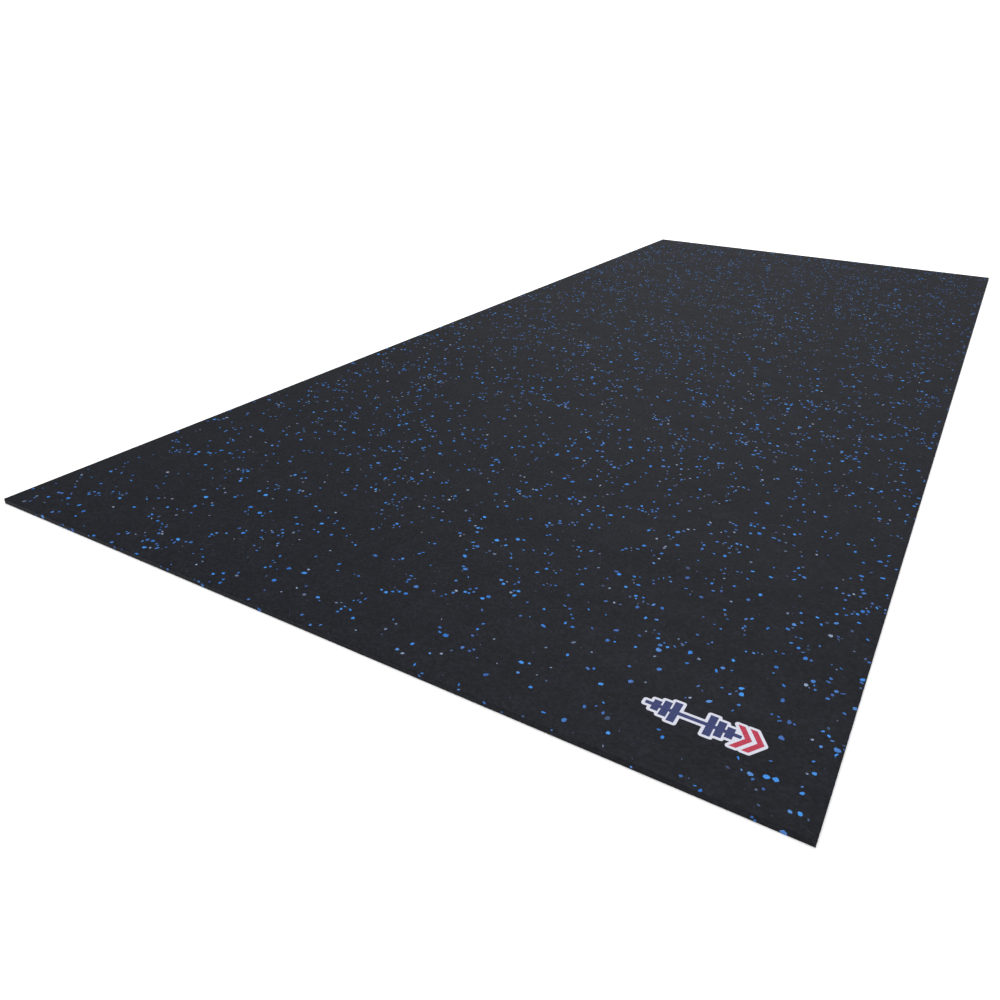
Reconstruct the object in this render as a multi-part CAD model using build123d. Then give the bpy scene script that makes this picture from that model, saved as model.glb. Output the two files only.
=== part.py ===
from build123d import *

import math
import os
import random

# A flat rubber equipment mat, the kind that lies under a treadmill. It is one sheet of
# pressed black rubber crumb, with coloured rubber chips bound flush into every face and
# a die-cut label pressed into one corner of the top.
# Millimetres. The origin is the centre of the underside, X runs across the mat, Y along
# it with the labelled short edge at -Y, and Z is up.

# ---- driving dimensions ----

mat_width = 914.4
mat_length = 2133.6
mat_thickness = 6.35

chips_per_square_metre = 60
chips_per_metre_of_edge = 8
chip_size_range = (3.6, 5.4)
chip_depth_range = (1.1, 1.9)
edge_chip_size_range = (2.2, 3.8)
chip_corner_counts = (5, 6, 7)
chip_gap = 0.8
cluster_share = 0.3
cluster_reach = 12.0
rim_clear = 4.5

chip_colours = ("azure", "royal", "pale")
colour_shares = (0.62, 0.28, 0.10)

label_length = 102.0
label_height = 32.0
label_inset_right = 102.0
label_inset_front = 70.0
label_border = 2.6
corner_radius = 2.4
plate_heights = (13.0, 19.0, 25.0)
plate_width = 6.4
plate_gap = 1.4
sleeve_length = 6.0
grip_height = 4.0
chevron_count = 2
chevron_depth = 9.0
chevron_stroke = 5.6
chevron_pitch = 9.6
label_clear = 8.0
adhesive_thickness = 0.05
film_thickness = 0.15
print_thickness = 0.05

seed = 7

# ---- worked-out values ----

half_width = mat_width / 2
half_length = mat_length / 2
label_x = half_width - label_inset_right
label_y = label_inset_front - half_length
imprint_depth = adhesive_thickness + film_thickness + print_thickness
imprint_floor = mat_thickness - imprint_depth

chevron_height = label_height - 2 * label_border
chevron_span = chevron_depth + chevron_stroke + (chevron_count - 1) * chevron_pitch
chevron_offset = label_length / 2 - label_border - chevron_span / 2
barbell_start = label_border - label_length / 2
barbell_end = chevron_offset - chevron_span / 2 + chevron_depth - label_border
barbell_length = barbell_end - barbell_start
barbell_offset = (barbell_start + barbell_end) / 2

faces = {
    "top": Plane((0, 0, mat_thickness), x_dir=(1, 0, 0), z_dir=(0, 0, 1)),
    "underside": Plane((0, 0, 0), x_dir=(1, 0, 0), z_dir=(0, 0, -1)),
}

middle = mat_thickness / 2
edges = {
    "front": (Plane((0, -half_length, middle), x_dir=(1, 0, 0), z_dir=(0, -1, 0)), mat_width),
    "back": (Plane((0, half_length, middle), x_dir=(1, 0, 0), z_dir=(0, 1, 0)), mat_width),
    "left": (Plane((-half_width, 0, middle), x_dir=(0, 1, 0), z_dir=(-1, 0, 0)), mat_length),
    "right": (Plane((half_width, 0, middle), x_dir=(0, 1, 0), z_dir=(1, 0, 0)), mat_length),
}


# ---- chips ----

def chip_outline(rng, size):
    """A jagged polygon about the origin that fits in a circle of this size."""
    corners = rng.choice(chip_corner_counts)
    turn = rng.uniform(0, 2 * math.pi)
    squash = rng.uniform(0.6, 1.0)
    points = []
    for corner in range(corners):
        angle = 2 * math.pi * (corner + rng.uniform(-0.28, 0.28)) / corners
        radius = size / 2 * rng.uniform(0.72, 1.0)
        u = radius * math.cos(angle)
        v = radius * math.sin(angle) * squash
        points.append((
            u * math.cos(turn) - v * math.sin(turn),
            u * math.sin(turn) + v * math.cos(turn),
        ))
    return points


def chip_solid(rng, plane, u, v, size):
    """A chip sunk into a face: its outer side lies in the plane, at (u, v)."""
    corners = [
        plane.from_local_coords((u + du, v + dv, 0))
        for du, dv in chip_outline(rng, size)
    ]
    depth = rng.uniform(*chip_depth_range)
    face = Face(Wire.make_polygon(corners))
    return Solid.extrude(face, plane.z_dir * -depth)


def is_clear(spot, others):
    """Whether a chip (u, v, size) keeps its gap from every chip that is already set."""
    u, v, size = spot
    return all(
        math.hypot(u - other_u, v - other_v) > (size + other_size) / 2 + chip_gap
        for other_u, other_v, other_size in others
    )


def under_label(u, v):
    """Whether a point of the top is in the area kept free of chips for the label."""
    return (
        abs(u - label_x) < label_length / 2 + label_clear
        and abs(v - label_y) < label_height / 2 + label_clear
    )


def scatter_on_face(rng, side):
    """Places for the chips of one broad face, some of them beside an earlier chip."""
    count = round(chips_per_square_metre * mat_width * mat_length / 1e6)
    limit_u = half_width - rim_clear
    limit_v = half_length - rim_clear
    spots = []
    while len(spots) < count:
        size = rng.uniform(*chip_size_range)
        if spots and rng.random() < cluster_share:
            near_u, near_v, _ = rng.choice(spots)
            u = near_u + rng.uniform(-cluster_reach, cluster_reach)
            v = near_v + rng.uniform(-cluster_reach, cluster_reach)
        else:
            u = rng.uniform(-limit_u, limit_u)
            v = rng.uniform(-limit_v, limit_v)
        inside = abs(u) < limit_u and abs(v) < limit_v
        covered = side == "top" and under_label(u, v)
        if inside and not covered and is_clear((u, v, size), spots):
            spots.append((u, v, size))
    return spots


def scatter_on_edge(rng, length):
    """Places for the chips along one cut edge, clear of the corners and the broad faces."""
    count = round(chips_per_metre_of_edge * length / 1000)
    limit_u = length / 2 - rim_clear
    spots = []
    while len(spots) < count:
        size = rng.uniform(*edge_chip_size_range)
        room = (mat_thickness - size) / 2 - chip_gap / 2
        spot = (rng.uniform(-limit_u, limit_u), rng.uniform(-room, room), size)
        if is_clear(spot, spots):
            spots.append(spot)
    return spots


def face_chips(rng, side):
    """The chips of one broad face, as lists of solids by colour."""
    chips = {colour: [] for colour in chip_colours}
    for u, v, size in scatter_on_face(rng, side):
        colour = rng.choices(chip_colours, colour_shares)[0]
        chips[colour].append(chip_solid(rng, faces[side], u, v, size))
    return chips


def edge_chips(rng, side):
    """The chips that one cut edge shows."""
    plane, length = edges[side]
    return [chip_solid(rng, plane, u, v, size) for u, v, size in scatter_on_edge(rng, length)]


# ---- label ----

def barbell_bars():
    """The bars of a plain barbell, as (centre along X, width, height)."""
    bars = [(barbell_offset, barbell_length, grip_height)]
    for end in (-1, 1):
        for order, height in enumerate(plate_heights):
            inset = sleeve_length + plate_width / 2 + order * (plate_width + plate_gap)
            bars.append((barbell_offset + end * (barbell_length / 2 - inset), plate_width, height))
    return bars


def barbell():
    """The barbell's print."""
    return Sketch() + [Pos(x, 0) * Rectangle(width, height) for x, width, height in barbell_bars()]


def chevrons():
    """Arrow heads in a row that point at the mat's long side, one outline for each."""
    corner_y = chevron_height / 2
    spine = [(-chevron_depth / 2, corner_y), (chevron_depth / 2, 0), (-chevron_depth / 2, -corner_y)]
    trailing = [(x - chevron_stroke / 2, y) for x, y in spine]
    leading = [(x + chevron_stroke / 2, y) for x, y in reversed(spine)]
    arrow = Polygon(*trailing, *leading, align=None)
    first = chevron_offset - (chevron_count - 1) * chevron_pitch / 2
    return [Pos(first + order * chevron_pitch, 0) * arrow for order in range(chevron_count)]


def label_outline():
    """The die-cut outline: every bar and arrow head, each with the border round it."""
    margin = 2 * label_border
    bars = [
        Pos(x, 0) * RectangleRounded(width + margin, height + margin, corner_radius)
        for x, width, height in barbell_bars()
    ]
    arrows = [offset(arrow, label_border) for arrow in chevrons()]
    return Sketch() + bars + arrows


def label_layer(shape, bottom, thickness):
    """One layer of the label, at the label's place on the mat."""
    return extrude(Pos(label_x, label_y, bottom) * shape, thickness, dir=(0, 0, 1))


# ---- assembly ----

def write(name, shapes):
    """Write one sub-part, a single solid or a group of separate solids."""
    solids = [solid for shape in shapes for solid in shape.solids()]
    whole = solids[0] if len(solids) == 1 else Compound(children=solids)
    whole.label = name
    export_step(whole, f"parts/{name}.step")


os.makedirs("parts", exist_ok=True)
rng = random.Random(seed)

groups = {}
for side in faces:
    for colour, solids in face_chips(rng, side).items():
        groups[f"{side}_chips_{colour}"] = solids
for side in edges:
    groups[f"edge_chips_{side}"] = edge_chips(rng, side)

outline = label_outline()

film_bottom = imprint_floor + adhesive_thickness
print_bottom = film_bottom + film_thickness
label = {
    "label_adhesive": label_layer(outline, imprint_floor, adhesive_thickness),
    "label_film": label_layer(outline, film_bottom, film_thickness),
    "label_print_red": label_layer(Sketch() + chevrons(), print_bottom, print_thickness),
    "label_print_navy": label_layer(barbell(), print_bottom, print_thickness),
}

imprint = label_layer(outline, imprint_floor, imprint_depth)
blank = Box(mat_width, mat_length, mat_thickness, align=(Align.CENTER, Align.CENTER, Align.MIN))
pockets = [solid for solids in groups.values() for solid in solids]
sheet = blank.cut(*imprint.solids(), *pockets)

write("rubber_sheet", [sheet])
for name, solids in groups.items():
    write(name, solids)
for name, layer in label.items():
    write(name, [layer])
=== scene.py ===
import math
import random

import bmesh
import bpy
from mathutils import Matrix, Vector, noise


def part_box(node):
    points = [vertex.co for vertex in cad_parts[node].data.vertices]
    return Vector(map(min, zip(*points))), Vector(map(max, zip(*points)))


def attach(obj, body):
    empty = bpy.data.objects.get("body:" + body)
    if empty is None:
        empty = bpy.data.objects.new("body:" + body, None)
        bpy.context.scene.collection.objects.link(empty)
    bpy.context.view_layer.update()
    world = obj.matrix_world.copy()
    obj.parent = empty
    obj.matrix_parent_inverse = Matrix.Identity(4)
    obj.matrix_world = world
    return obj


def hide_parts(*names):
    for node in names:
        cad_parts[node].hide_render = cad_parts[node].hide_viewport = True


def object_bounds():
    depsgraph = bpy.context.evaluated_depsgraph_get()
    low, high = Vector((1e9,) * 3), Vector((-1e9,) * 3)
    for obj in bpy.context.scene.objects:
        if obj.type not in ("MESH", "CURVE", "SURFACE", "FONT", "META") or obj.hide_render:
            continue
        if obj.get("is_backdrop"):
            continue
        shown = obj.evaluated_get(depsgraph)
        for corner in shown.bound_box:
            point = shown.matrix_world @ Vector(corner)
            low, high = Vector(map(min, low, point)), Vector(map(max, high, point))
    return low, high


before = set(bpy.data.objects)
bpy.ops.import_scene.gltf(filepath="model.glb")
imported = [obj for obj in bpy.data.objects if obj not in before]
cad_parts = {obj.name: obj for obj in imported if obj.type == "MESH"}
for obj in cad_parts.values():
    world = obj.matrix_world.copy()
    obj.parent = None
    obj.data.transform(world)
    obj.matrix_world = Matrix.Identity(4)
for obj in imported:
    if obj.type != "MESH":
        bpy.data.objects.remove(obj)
cad_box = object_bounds()

# A flat mat of black rubber crumb, with blue rubber chips bound into every face and a
# die-cut label in one corner. Metres: X runs across the mat, Y along it, and Z is up.

MM = 0.001
seed = 11

# ---- sizes, from the frame ----

sheet_low, sheet_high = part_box("rubber_sheet")
half_width = sheet_high.x
half_length = sheet_high.y
thickness = sheet_high.z - sheet_low.z
label_low, label_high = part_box("label_film")
label_centre = (label_low + label_high) / 2
label_half = (label_high - label_low) / 2

# ---- the sheet's relief ----

skin_drop = 0.07 * MM
ripple_depth = 0.07 * MM
ripple_wave = 150 * MM
ripple_cells_per_metre_across = 0.9
swell_depth = 0.12 * MM
swell_wave = 420 * MM
imprint_drop = 0.26 * MM
imprint_reach = 24 * MM
grid_step = 7.5 * MM

# ---- the cut edge, from the flat top over the edge to the flat underside ----

rim_width = 5 * MM
rim_pieces = 3
flat_inset = 0.9 * MM
top_shoulder_inset = 0.15 * MM
top_shoulder_drop = 0.12 * MM
cut_inset = 0.02 * MM
cut_height_shares = (0.80, 0.60, 0.40, 0.20)
under_shoulder_inset = 0.12 * MM
under_shoulder_rise = 0.1 * MM
edge_crumb = 0.16 * MM
cut_crumb = 1.6 * edge_crumb
edge_crumb_size = 3.2 * MM
border_tolerance = 0.001 * MM

# ---- chips ----

chips_per_square_metre = 3200
specks_per_square_metre = 1300
chip_median = 4.1 * MM
chip_spread = 0.28
chip_smallest = 1.1 * MM
chip_largest = 6.4 * MM
speck_size_range = (0.5 * MM, 1.0 * MM)
chip_corner_counts = (5, 6, 6, 7, 8)
corner_wander = 0.3
corner_radius_range = (0.66, 1.08)
chip_squash_range = (0.6, 1.0)
sliver_share = 0.22
sliver_squash_range = (0.32, 0.55)
chip_root = 0.5 * MM
chip_proud = 0.035 * MM
chip_crown = 0.03 * MM
chip_wall_share = 0.4
chip_bevel_scale = 0.86

cell_size = 1.2 * chip_largest
closeness = 0.9
cluster_share = 0.28
edge_cluster_share = 0.2
chain_share = 0.35
cluster_reach = 8 * MM
cluster_nearest_share = 0.5
patch_size = 170 * MM
patch_thinning = 0.35

label_clear = 2.5 * MM
face_margin = 0.25 * MM
edge_end_margin = 0.4 * MM
edge_side_margin = 0.3 * MM
edge_inset = 0.05 * MM
weld_distance = 0.002 * MM
face_tolerance = 0.01 * MM

chip_shares = {
    "azure_bright": 0.33,
    "azure": 0.28,
    "royal": 0.12,
    "dusk": 0.09,
    "pale": 0.18,
}
chip_relative_size = {
    "azure_bright": 1.05,
    "azure": 1.0,
    "royal": 0.95,
    "dusk": 0.9,
    "pale": 0.78,
}
cad_colours = ("azure", "royal", "pale")

# ---- slices of the noise field, so that ripple, swell and patches don't repeat each other ----

ripple_slice = 3.1
swell_slice = 8.7
patch_slice = 0.9


def smooth_step(value):
    value = min(max(value, 0.0), 1.0)
    return value * value * (3 - 2 * value)


def top_height(x, y):
    """Height of the top surface: a slight roll memory across the mat, and the label's imprint."""
    ripple_place = (x * ripple_cells_per_metre_across, y / ripple_wave, ripple_slice)
    ripple = noise.noise(Vector(ripple_place))
    swell = noise.noise(Vector((x / swell_wave, y / swell_wave, swell_slice)))
    away_x = max(abs(x - label_centre.x) - label_half.x, 0.0)
    away_y = max(abs(y - label_centre.y) - label_half.y, 0.0)
    press = 1 - smooth_step(math.hypot(away_x, away_y) / imprint_reach)
    drop = skin_drop + ripple_depth * (0.5 + 0.5 * ripple) + swell_depth * (0.5 + 0.5 * swell)
    return thickness - drop * (1 - press) - imprint_drop * press


def top_shoulder_height(x, y):
    return top_height(x, y) - top_shoulder_drop


def flat_surface(level):
    """A height function of (x, y) that gives the same level everywhere."""
    return lambda x, y: level


under_height = flat_surface(skin_drop)


# ---- mesh helpers ----

def mesh_object(name, vertices, polygons):
    mesh = bpy.data.meshes.new(name)
    mesh.from_pydata(vertices, [], polygons)
    mesh.update()
    piece = bpy.data.objects.new(name, mesh)
    bpy.context.scene.collection.objects.link(piece)
    return piece


def steps(low, high, size):
    """Evenly spaced places from low to high, about this size apart."""
    count = max(1, round((high - low) / size))
    return [low + (high - low) * index / count for index in range(count + 1)]


# ---- the sheet ----

def build_sheet():
    """One closed mesh: a top and an underside grid, joined by a finer crumbly cut edge."""
    inner_x = half_width - rim_width
    inner_y = half_length - rim_width
    xs = steps(-inner_x, inner_x, grid_step)
    ys = steps(-inner_y, inner_y, grid_step)
    across = len(xs)
    along = len(ys)
    vertices = []
    polygons = []

    def grid(height, upward):
        """A grid of quads, facing up or down. Gives the number of its first vertex."""
        start = len(vertices)
        vertices.extend((x, y, height(x, y)) for y in ys for x in xs)
        for j in range(along - 1):
            for i in range(across - 1):
                a = start + j * across + i
                corners = (a, a + 1, a + 1 + across, a + across)
                polygons.append(corners if upward else corners[::-1])
        return start

    def border(start):
        """The vertices round the outside of a grid, in order."""
        loop = [start + i for i in range(across - 1)]
        loop += [start + j * across + across - 1 for j in range(along - 1)]
        loop += [start + (along - 1) * across + i for i in range(across - 1, 0, -1)]
        loop += [start + j * across for j in range(along - 1, 0, -1)]
        return loop

    top = border(grid(top_height, True))
    under = border(grid(under_height, False))

    fine = []
    for index, corner in enumerate(top):
        here = Vector(vertices[corner])
        there = Vector(vertices[top[(index + 1) % len(top)]])
        fine += [here.lerp(there, part / rim_pieces) for part in range(rim_pieces)]
    total = len(fine)

    def ring(inset, height, roughness):
        """A closed ring of vertices, this far inside the cut edge, pushed in by the crumb."""
        scale_x = (half_width - inset) / inner_x
        scale_y = (half_length - inset) / inner_y
        start = len(vertices)
        for point in fine:
            x = point.x * scale_x
            y = point.y * scale_y
            z = height(x, y)
            grain = noise.noise(Vector((x, y, z)) / edge_crumb_size)
            push = roughness * (0.5 + 0.5 * grain)
            if abs(point.x) > inner_x - border_tolerance:
                x -= math.copysign(push, x)
            if abs(point.y) > inner_y - border_tolerance:
                y -= math.copysign(push, y)
            vertices.append((x, y, z))
        return [start + index for index in range(total)]

    rings = [
        ring(flat_inset, top_height, 0.0),
        ring(top_shoulder_inset, top_shoulder_height, edge_crumb),
    ]
    for share in cut_height_shares:
        rings.append(ring(cut_inset, flat_surface(thickness * share), cut_crumb))
    rings += [
        ring(under_shoulder_inset, flat_surface(skin_drop + under_shoulder_rise), edge_crumb),
        ring(flat_inset, under_height, 0.0),
    ]
    for upper, lower in zip(rings, rings[1:]):
        for index in range(total):
            after = (index + 1) % total
            polygons.append((upper[index], lower[index], lower[after], upper[after]))

    def stitch(coarse, outer, upward):
        """Joins a grid's border to the ring outside it, which takes three steps to its one."""
        for index, corner in enumerate(coarse):
            after = coarse[(index + 1) % len(coarse)]
            first = index * rim_pieces
            a, b, c, d = (outer[(first + part) % total] for part in range(rim_pieces + 1))
            for shape in ((corner, a, b), (corner, b, c, after), (after, c, d)):
                polygons.append(shape if upward else shape[::-1])

    stitch(top, rings[0], True)
    stitch(under, rings[-1], False)
    sheet = mesh_object("crumb_rubber_sheet", vertices, polygons)
    for polygon in sheet.data.polygons:
        polygon.use_smooth = True
    return sheet


# ---- places for chips ----

class Scatter:
    """Remembers where chips are, in square cells, so that new ones keep clear of them."""

    def __init__(self):
        self.cells = {}

    def key(self, u, v):
        return math.floor(u / cell_size), math.floor(v / cell_size)

    def is_free(self, u, v, size):
        column, row = self.key(u, v)
        for i in (column - 1, column, column + 1):
            for j in (row - 1, row, row + 1):
                for other_u, other_v, other_size in self.cells.get((i, j), ()):
                    reach = (size + other_size) / 2 * closeness
                    if (u - other_u) ** 2 + (v - other_v) ** 2 < reach * reach:
                        return False
        return True

    def add(self, u, v, size):
        self.cells.setdefault(self.key(u, v), []).append((u, v, size))

    def add_outline(self, points):
        """Takes the circle that an outline fits in."""
        middle_u, middle_v = middle_of(points)
        span = max(math.hypot(u - middle_u, v - middle_v) for u, v in points)
        self.add(middle_u, middle_v, 2 * span)


def middle_of(points):
    count = len(points)
    return sum(u for u, v in points) / count, sum(v for u, v in points) / count


def chip_size(rng):
    size = chip_median * math.exp(rng.gauss(0, chip_spread))
    return min(max(size, chip_smallest), chip_largest)


def speck_size(rng):
    return rng.uniform(*speck_size_range)


def near_label(u, v, size):
    margin = label_clear + size / 2
    near_u = abs(u - label_centre.x) < label_half.x + margin
    near_v = abs(v - label_centre.y) < label_half.y + margin
    return near_u and near_v


def nothing_blocked(u, v, size):
    return False


def scatter_chips(rng, taken, count, limits, pick_size, blocked, clusters):
    """Places (u, v, size) for chips over a rectangle, a share of them beside an earlier one."""
    limit_u, limit_v = limits
    spots = []
    while len(spots) < count:
        size = pick_size(rng)
        if spots and rng.random() < clusters:
            near = spots[-1] if rng.random() < chain_share else rng.choice(spots)
            reach = rng.uniform(cluster_nearest_share, 1.0) * cluster_reach
            angle = rng.uniform(0, 2 * math.pi)
            u = near[0] + reach * math.cos(angle)
            v = near[1] + reach * math.sin(angle)
        else:
            u = rng.uniform(-limit_u, limit_u)
            v = rng.uniform(-limit_v, limit_v)
        if abs(u) > limit_u or abs(v) > limit_v or blocked(u, v, size):
            continue
        patch = noise.noise(Vector((u, v, patch_slice)) / patch_size)
        if rng.random() < patch_thinning * patch:
            continue
        if taken.is_free(u, v, size):
            taken.add(u, v, size)
            spots.append((u, v, size))
    return spots


# ---- chip shapes ----

def cad_chip_outlines(node, axis, level):
    """The corners of each of a CAD node's chips on the face at this level along an axis."""
    chips = bmesh.new()
    chips.from_mesh(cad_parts[node].data)
    bmesh.ops.remove_doubles(chips, verts=chips.verts, dist=weld_distance)
    seen = set()
    outlines = []
    for vertex in chips.verts:
        if vertex in seen:
            continue
        island = [vertex]
        seen.add(vertex)
        for member in island:  # the list grows until the whole chip is in it
            for edge in member.link_edges:
                other = edge.other_vert(member)
                if other not in seen:
                    seen.add(other)
                    island.append(other)
        outlines.append([v.co.copy() for v in island if abs(v.co[axis] - level) < face_tolerance])
    chips.free()
    return outlines


def hull_order(points):
    """The points of a star-shaped outline in order round their middle."""
    middle_u, middle_v = middle_of(points)
    return sorted(points, key=lambda point: math.atan2(point[1] - middle_v, point[0] - middle_u))


def ragged_outline(rng, size):
    """A jagged chip outline about the origin; some are slivers."""
    corners = rng.choice(chip_corner_counts)
    turn = rng.uniform(0, 2 * math.pi)
    is_sliver = rng.random() < sliver_share
    squash = rng.uniform(*(sliver_squash_range if is_sliver else chip_squash_range))
    points = []
    for corner in range(corners):
        angle = 2 * math.pi * (corner + rng.uniform(-corner_wander, corner_wander)) / corners
        radius = size / 2 * rng.uniform(*corner_radius_range)
        u = radius * math.cos(angle)
        v = radius * math.sin(angle) * squash
        points.append((
            u * math.cos(turn) - v * math.sin(turn),
            u * math.sin(turn) + v * math.cos(turn),
        ))
    return points


def chip_outline(rng, u, v, size, limits):
    """A ragged outline about (u, v), cut off at the edge of its face."""
    limit_u, limit_v = limits
    return [
        (min(max(u + du, -limit_u), limit_u), min(max(v + dv, -limit_v), limit_v))
        for du, dv in ragged_outline(rng, size)
    ]


class ChipMesh:
    """Collects chips of one kind into one mesh, with a tone for each chip."""

    def __init__(self):
        self.vertices = []
        self.polygons = []
        self.tones = []

    def add(self, outline, place, tone):
        """outline is 2-D; place(u, v, depth) gives a point, depth counted out of the surface."""
        count = len(outline)
        start = len(self.vertices)
        centre_u, centre_v = middle_of(outline)
        rings = (
            (1.0, -chip_root),
            (1.0, chip_proud * chip_wall_share),
            (chip_bevel_scale, chip_proud),
        )
        for scale, depth in rings:
            for u, v in outline:
                self.vertices.append(place(
                    centre_u + (u - centre_u) * scale,
                    centre_v + (v - centre_v) * scale,
                    depth,
                ))
        self.vertices.append(place(centre_u, centre_v, chip_proud + chip_crown))
        self.vertices.append(place(centre_u, centre_v, -chip_root))
        bevel = start + 2 * count
        crown = start + 3 * count
        root = crown + 1
        for index in range(count):
            after = (index + 1) % count
            for low in (start, start + count):
                high = low + count
                self.polygons.append((low + index, low + after, high + after, high + index))
            self.polygons.append((bevel + index, bevel + after, crown))
            self.polygons.append((start + after, start + index, root))
        self.tones.extend([tone] * (3 * count + 2))

    def build(self, name):
        piece = mesh_object(name, self.vertices, self.polygons)
        tone = piece.data.attributes.new("tone", "FLOAT", "POINT")
        tone.data.foreach_set("value", self.tones)
        return piece


# ---- chips on the faces and edges ----

def build_face_chips(rng, side):
    """All the chips of the top or the underside, by kind."""
    is_top = side == "top"
    level = thickness if is_top else 0.0
    blocked = near_label if is_top else nothing_blocked
    limits = (half_width - face_margin, half_length - face_margin)
    area = 4 * half_width * half_length
    meshes = {kind: ChipMesh() for kind in chip_shares}
    specks = ChipMesh()
    taken = Scatter()

    def place(u, v, depth):
        if is_top:
            return (u, v, top_height(u, v) + depth)
        return (-u, v, under_height(-u, v) - depth)

    for colour in cad_colours:
        for rim in cad_chip_outlines(f"{side}_chips_{colour}", 2, level):
            points = hull_order([(p.x if is_top else -p.x, p.y) for p in rim])
            taken.add_outline(points)
            meshes[colour].add(points, place, rng.random())

    kinds = list(chip_shares)
    shares = list(chip_shares.values())
    count = round(chips_per_square_metre * area)
    spots = scatter_chips(rng, taken, count, limits, chip_size, blocked, cluster_share)
    for u, v, size in spots:
        kind = rng.choices(kinds, shares)[0]
        outline = chip_outline(rng, u, v, size * chip_relative_size[kind], limits)
        meshes[kind].add(outline, place, rng.random())

    count = round(specks_per_square_metre * area)
    spots = scatter_chips(rng, taken, count, limits, speck_size, blocked, 0.0)
    for u, v, size in spots:
        specks.add(chip_outline(rng, u, v, size, limits), place, rng.random())

    pieces = {kind: mesh.build(f"{side}_chips_{kind}_fine") for kind, mesh in meshes.items()}
    pieces["specks"] = specks.build(f"{side}_chip_specks")
    return pieces


def build_edge_chips(rng, side):
    """The chips that one cut edge slices through."""
    along_y = side in ("left", "right")
    outward = 1 if side in ("right", "back") else -1
    reach = half_width if along_y else half_length
    half_run = half_length if along_y else half_width
    middle = thickness / 2
    axis = 0 if along_y else 1
    flip = outward if along_y else -outward
    limits = (half_run - edge_end_margin, middle - edge_side_margin)
    mesh = ChipMesh()
    taken = Scatter()

    def place(u, v, depth):
        out = outward * (reach - edge_inset + depth)
        if along_y:
            return (out, flip * u, middle + v)
        return (flip * u, out, middle + v)

    for rim in cad_chip_outlines(f"edge_chips_{side}", axis, outward * reach):
        points = hull_order([(flip * (p.y if along_y else p.x), p.z - middle) for p in rim])
        taken.add_outline(points)
        mesh.add(points, place, rng.random())

    count = round(chips_per_square_metre * 4 * limits[0] * limits[1])
    spots = scatter_chips(rng, taken, count, limits, chip_size, nothing_blocked, edge_cluster_share)
    for u, v, size in spots:
        mesh.add(chip_outline(rng, u, v, size, limits), place, rng.random())
    return mesh.build(f"{side}_edge_chips_fine")


# ---- shader helpers ----

def new_material(name):
    material = bpy.data.materials.new(name)
    material.use_nodes = True
    tree = material.node_tree
    return material, tree, tree.nodes["Principled BSDF"]


def ramp(tree, factor, stops):
    """A colour ramp fed by a factor; stops are (position, colour)."""
    node = tree.nodes.new("ShaderNodeValToRGB")
    elements = node.color_ramp.elements
    while len(elements) < len(stops):
        elements.new(0.5)
    for element, (position, colour) in zip(elements, stops):
        element.position = position
        element.color = (*colour, 1)
    tree.links.new(factor, node.inputs["Fac"])
    return node.outputs["Color"]


def place_coordinates(tree, scale=(1, 1, 1)):
    """Object coordinates, scaled per axis."""
    coordinates = tree.nodes.new("ShaderNodeTexCoord")
    mapping = tree.nodes.new("ShaderNodeMapping")
    mapping.inputs["Scale"].default_value = scale
    tree.links.new(coordinates.outputs["Object"], mapping.inputs["Vector"])
    return mapping.outputs["Vector"]


def noise_texture(tree, vector, scale, detail, roughness=0.5):
    node = tree.nodes.new("ShaderNodeTexNoise")
    node.inputs["Scale"].default_value = scale
    node.inputs["Detail"].default_value = detail
    node.inputs["Roughness"].default_value = roughness
    tree.links.new(vector, node.inputs["Vector"])
    return node.outputs["Fac"]


def multiply(tree, first, second):
    node = tree.nodes.new("ShaderNodeMix")
    node.data_type = "RGBA"
    node.blend_type = "MULTIPLY"
    node.inputs["Factor"].default_value = 1.0
    tree.links.new(first, node.inputs["A"])
    tree.links.new(second, node.inputs["B"])
    return node.outputs["Result"]


def bump(tree, height, strength, distance, before=None):
    node = tree.nodes.new("ShaderNodeBump")
    node.inputs["Strength"].default_value = strength
    node.inputs["Distance"].default_value = distance
    tree.links.new(height, node.inputs["Height"])
    if before is not None:
        tree.links.new(before, node.inputs["Normal"])
    return node.outputs["Normal"]


def map_range(tree, value, low, high, from_low=0.0, from_high=1.0):
    node = tree.nodes.new("ShaderNodeMapRange")
    node.inputs["From Min"].default_value = from_low
    node.inputs["From Max"].default_value = from_high
    node.inputs["To Min"].default_value = low
    node.inputs["To Max"].default_value = high
    tree.links.new(value, node.inputs["Value"])
    return node.outputs["Result"]


# ---- materials; a texture's scale is in cells per metre ----

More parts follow.
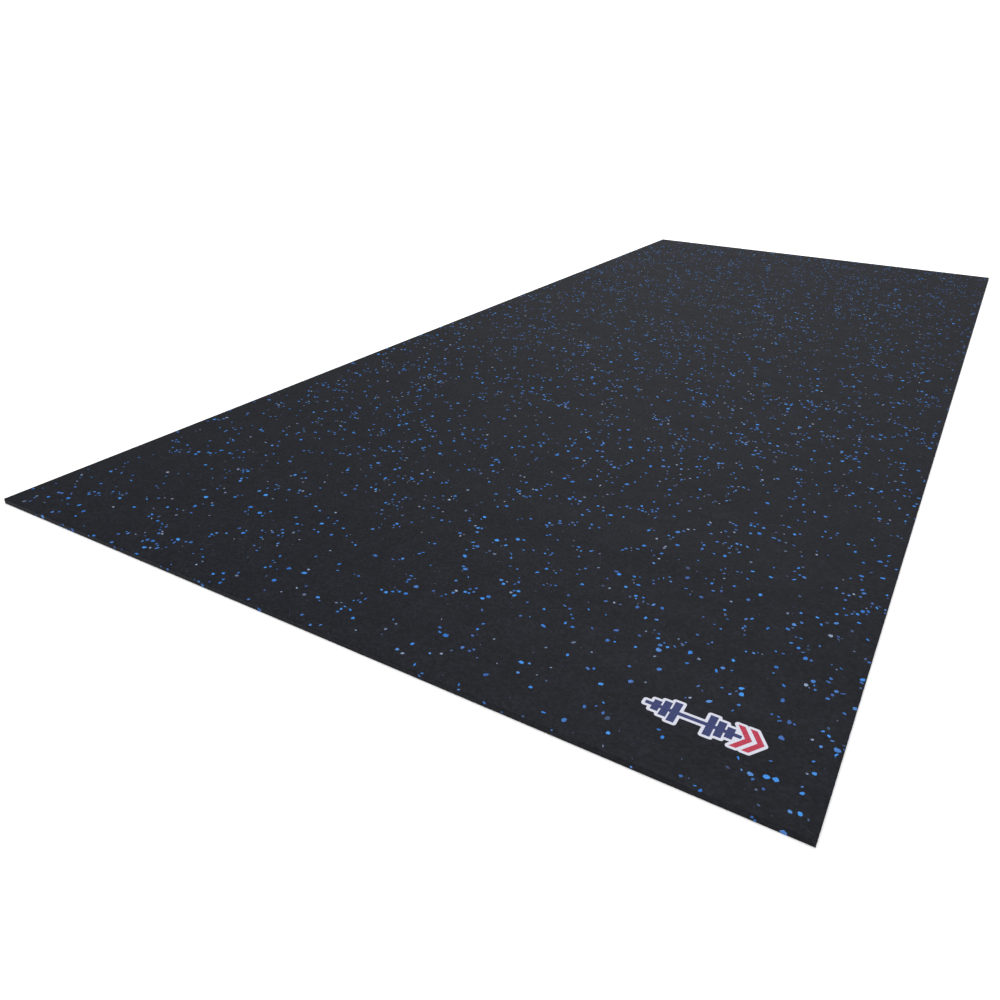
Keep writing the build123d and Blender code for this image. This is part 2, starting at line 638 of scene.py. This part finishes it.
def crumb_rubber():
    """Pressed black crumb: granules with their own tone, fine pits and faint roll marks."""
    material, tree, shader = new_material("crumb_rubber")
    plain = place_coordinates(tree)
    granules = tree.nodes.new("ShaderNodeTexVoronoi")
    granules.inputs["Scale"].default_value = 430
    tree.links.new(plain, granules.inputs["Vector"])
    dust = noise_texture(tree, plain, scale=1600, detail=3, roughness=0.6)
    mottle = noise_texture(tree, plain, scale=38, detail=4, roughness=0.6)
    drawn_out = place_coordinates(tree, (1.4, 17, 1))
    marks = noise_texture(tree, drawn_out, scale=1.0, detail=4, roughness=0.55)

    separate = tree.nodes.new("ShaderNodeSeparateColor")
    tree.links.new(granules.outputs["Color"], separate.inputs["Color"])
    tone = ramp(tree, separate.outputs["Red"], [
        (0.0, (0.0046, 0.0051, 0.0078)),
        (0.55, (0.0068, 0.0076, 0.0116)),
        (1.0, (0.0104, 0.0114, 0.0166)),
    ])
    cloud = ramp(tree, mottle, [(0.3, (0.84, 0.84, 0.85)), (0.7, (1.12, 1.12, 1.12))])
    grit = ramp(tree, dust, [(0.3, (0.82, 0.82, 0.82)), (0.7, (1.15, 1.15, 1.15))])
    colour = multiply(tree, multiply(tree, tone, cloud), grit)
    roughness = map_range(tree, marks, 0.55, 0.63, from_low=0.3, from_high=0.7)
    domes = bump(tree, granules.outputs["Distance"], strength=0.35, distance=0.4 * MM)
    pits = bump(tree, dust, strength=0.3, distance=0.2 * MM, before=domes)
    tree.links.new(colour, shader.inputs["Base Color"])
    tree.links.new(roughness, shader.inputs["Roughness"])
    tree.links.new(pits, shader.inputs["Normal"])
    shader.inputs["Specular IOR Level"].default_value = 0.11
    return material


def chip_rubber(name, dark, middle, bright):
    """Coloured EPDM: each chip has its own tone, with a little black binder smeared on it."""
    material, tree, shader = new_material(name)
    plain = place_coordinates(tree)
    attribute = tree.nodes.new("ShaderNodeAttribute")
    attribute.attribute_name = "tone"
    tone = ramp(tree, attribute.outputs["Fac"], [(0.0, dark), (0.5, middle), (1.0, bright)])
    smear = noise_texture(tree, plain, scale=700, detail=4, roughness=0.6)
    film = ramp(tree, smear, [(0.30, (0.6, 0.62, 0.66)), (0.45, (1, 1, 1))])
    grain = noise_texture(tree, plain, scale=2400, detail=2)
    fine_bumps = bump(tree, grain, strength=0.3, distance=0.08 * MM)
    tree.links.new(multiply(tree, tone, film), shader.inputs["Base Color"])
    tree.links.new(map_range(tree, grain, 0.5, 0.7), shader.inputs["Roughness"])
    tree.links.new(fine_bumps, shader.inputs["Normal"])
    shader.inputs["Specular IOR Level"].default_value = 0.25
    return material


def label_plastic(name, colour, wear, roughness):
    """Satin film or print: an even colour with faint grain and rubbed spots."""
    material, tree, shader = new_material(name)
    plain = place_coordinates(tree)
    spots = noise_texture(tree, plain, scale=900, detail=5, roughness=0.65)
    tone = ramp(tree, spots, [(0.34, wear), (0.46, colour)])
    grain = noise_texture(tree, plain, scale=1800, detail=3)
    sheen = map_range(tree, grain, roughness - 0.08, roughness + 0.08)
    fine_bumps = bump(tree, grain, strength=0.25, distance=0.06 * MM)
    tree.links.new(tone, shader.inputs["Base Color"])
    tree.links.new(sheen, shader.inputs["Roughness"])
    tree.links.new(fine_bumps, shader.inputs["Normal"])
    shader.inputs["Specular IOR Level"].default_value = 0.25
    return material


def give(piece, material):
    piece.data.materials.clear()
    piece.data.materials.append(material)


# A chip kind's material, and its darkest, middle and brightest tone.
chip_looks = {
    "azure_bright": ("azure_bright_chips", (0.009, 0.11, 0.39), (0.015, 0.158, 0.52), (0.033, 0.228, 0.64)),
    "azure": ("azure_chips", (0.015, 0.084, 0.30), (0.028, 0.132, 0.40), (0.06, 0.194, 0.50)),
    "royal": ("royal_chips", (0.02, 0.07, 0.23), (0.03, 0.10, 0.33), (0.05, 0.15, 0.43)),
    "dusk": ("dusk_chips", (0.02, 0.04, 0.09), (0.03, 0.065, 0.15), (0.05, 0.10, 0.23)),
    "pale": ("pale_chips", (0.07, 0.10, 0.18), (0.13, 0.18, 0.29), (0.24, 0.31, 0.43)),
    "specks": ("chip_specks", (0.03, 0.07, 0.16), (0.05, 0.13, 0.32), (0.14, 0.23, 0.45)),
}
# A label layer's material, its colour, its rubbed colour and its roughness.
label_finishes = {
    "label_adhesive": ("cured_adhesive", (0.62, 0.62, 0.58), (0.5, 0.5, 0.46), 0.5),
    "label_film": ("label_vinyl", (0.52, 0.53, 0.61), (0.44, 0.45, 0.52), 0.42),
    "label_print_navy": ("navy_ink", (0.008, 0.017, 0.095), (0.03, 0.04, 0.14), 0.42),
    "label_print_red": ("red_ink", (0.35, 0.011, 0.042), (0.40, 0.06, 0.09), 0.42),
}

# ---- build ----

rng = random.Random(seed)
chip_materials = {kind: chip_rubber(*look) for kind, look in chip_looks.items()}

sheet = build_sheet()
give(sheet, crumb_rubber())
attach(sheet, "root")
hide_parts("rubber_sheet")

for side in ("top", "underside"):
    for kind, piece in build_face_chips(rng, side).items():
        give(piece, chip_materials[kind])
        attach(piece, "root")
        if kind in cad_colours:
            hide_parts(f"{side}_chips_{kind}")

for side in ("front", "back", "left", "right"):
    piece = build_edge_chips(rng, side)
    give(piece, chip_materials["azure"])
    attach(piece, "root")
    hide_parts(f"edge_chips_{side}")

for node, finish in label_finishes.items():
    give(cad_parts[node], label_plastic(*finish))

# ---- floor, light and camera ----

floor_half = 30.0
floor_drop = 0.12 * MM
fill_strength = 0.32
backdrop_strength = 1.05
camera_place = Vector((0.4625, -1.5131, 0.4571))
camera_aim = Vector((0.0261, -0.7549, 0.0064))
camera_roll = math.radians(1.52)
camera_lens = 29.80


def build_floor():
    corners = [(-1, -1), (1, -1), (1, 1), (-1, 1)]
    floor = mesh_object(
        "floor",
        [(x * floor_half, y * floor_half, -floor_drop) for x, y in corners],
        [(0, 1, 2, 3)],
    )
    material, tree, shader = new_material("pale_floor")
    shader.inputs["Base Color"].default_value = (0.95, 0.95, 0.95, 1)
    shader.inputs["Roughness"].default_value = 0.9
    shader.inputs["Specular IOR Level"].default_value = 0.0
    give(floor, material)
    floor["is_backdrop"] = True


def white_background(tree, strength):
    node = tree.nodes.new("ShaderNodeBackground")
    node.inputs["Color"].default_value = (1, 1, 1, 1)
    node.inputs["Strength"].default_value = strength
    return node.outputs["Background"]


def build_world():
    """A white backdrop for the camera, and a dimmer even light for everything else."""
    world = bpy.data.worlds.new("studio")
    world.use_nodes = True
    tree = world.node_tree
    tree.nodes.clear()
    output = tree.nodes.new("ShaderNodeOutputWorld")
    mix = tree.nodes.new("ShaderNodeMixShader")
    path = tree.nodes.new("ShaderNodeLightPath")
    tree.links.new(path.outputs["Is Camera Ray"], mix.inputs["Fac"])
    tree.links.new(white_background(tree, fill_strength), mix.inputs[1])
    tree.links.new(white_background(tree, backdrop_strength), mix.inputs[2])
    tree.links.new(mix.outputs["Shader"], output.inputs["Surface"])
    bpy.context.scene.world = world


def add_sun(name, strength, degrees, direction):
    light = bpy.data.lights.new(name, "SUN")
    light.energy = strength
    light.angle = math.radians(degrees)
    lamp = bpy.data.objects.new(name, light)
    lamp.rotation_euler = Vector(direction).to_track_quat("-Z", "Y").to_euler()
    bpy.context.scene.collection.objects.link(lamp)


def add_softbox(name, place, aim, size, power):
    light = bpy.data.lights.new(name, "AREA")
    light.shape = "RECTANGLE"
    light.size, light.size_y = size
    light.energy = power
    lamp = bpy.data.objects.new(name, light)
    lamp.location = place
    lamp.rotation_euler = (Vector(aim) - Vector(place)).to_track_quat("-Z", "Y").to_euler()
    bpy.context.scene.collection.objects.link(lamp)


def build_lights():
    add_sun("soft_overhead", strength=2.4, degrees=40, direction=(0, 0, -1))
    add_softbox("overhead_box", place=(-0.2, 0.9, 2.1), aim=(-0.2, 0.9, 0), size=(2.0, 2.0), power=26)
    add_softbox("front_box", place=(0.8, -4.2, 1.1), aim=(0, -1.0, 0), size=(2.4, 1.4), power=36)
    add_softbox("far_window", place=(-1.6, 4.6, 1.9), aim=(-0.2, 0.6, 0), size=(2.6, 1.8), power=3.0)


def build_camera():
    data = bpy.data.cameras.new("camera")
    data.lens = camera_lens
    data.sensor_width = 36
    data.clip_start = 0.01
    data.clip_end = 200
    camera = bpy.data.objects.new("camera", data)
    look = (camera_aim - camera_place).to_track_quat("-Z", "Y").to_matrix().to_4x4()
    roll = Matrix.Rotation(camera_roll, 4, "Z")
    camera.matrix_world = Matrix.Translation(camera_place) @ look @ roll
    bpy.context.scene.collection.objects.link(camera)
    bpy.context.scene.camera = camera


build_floor()
build_world()
build_lights()
build_camera()
bpy.context.scene.view_settings.view_transform = "Standard"

[[list(corner) for corner in box] for box in (cad_box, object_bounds())]
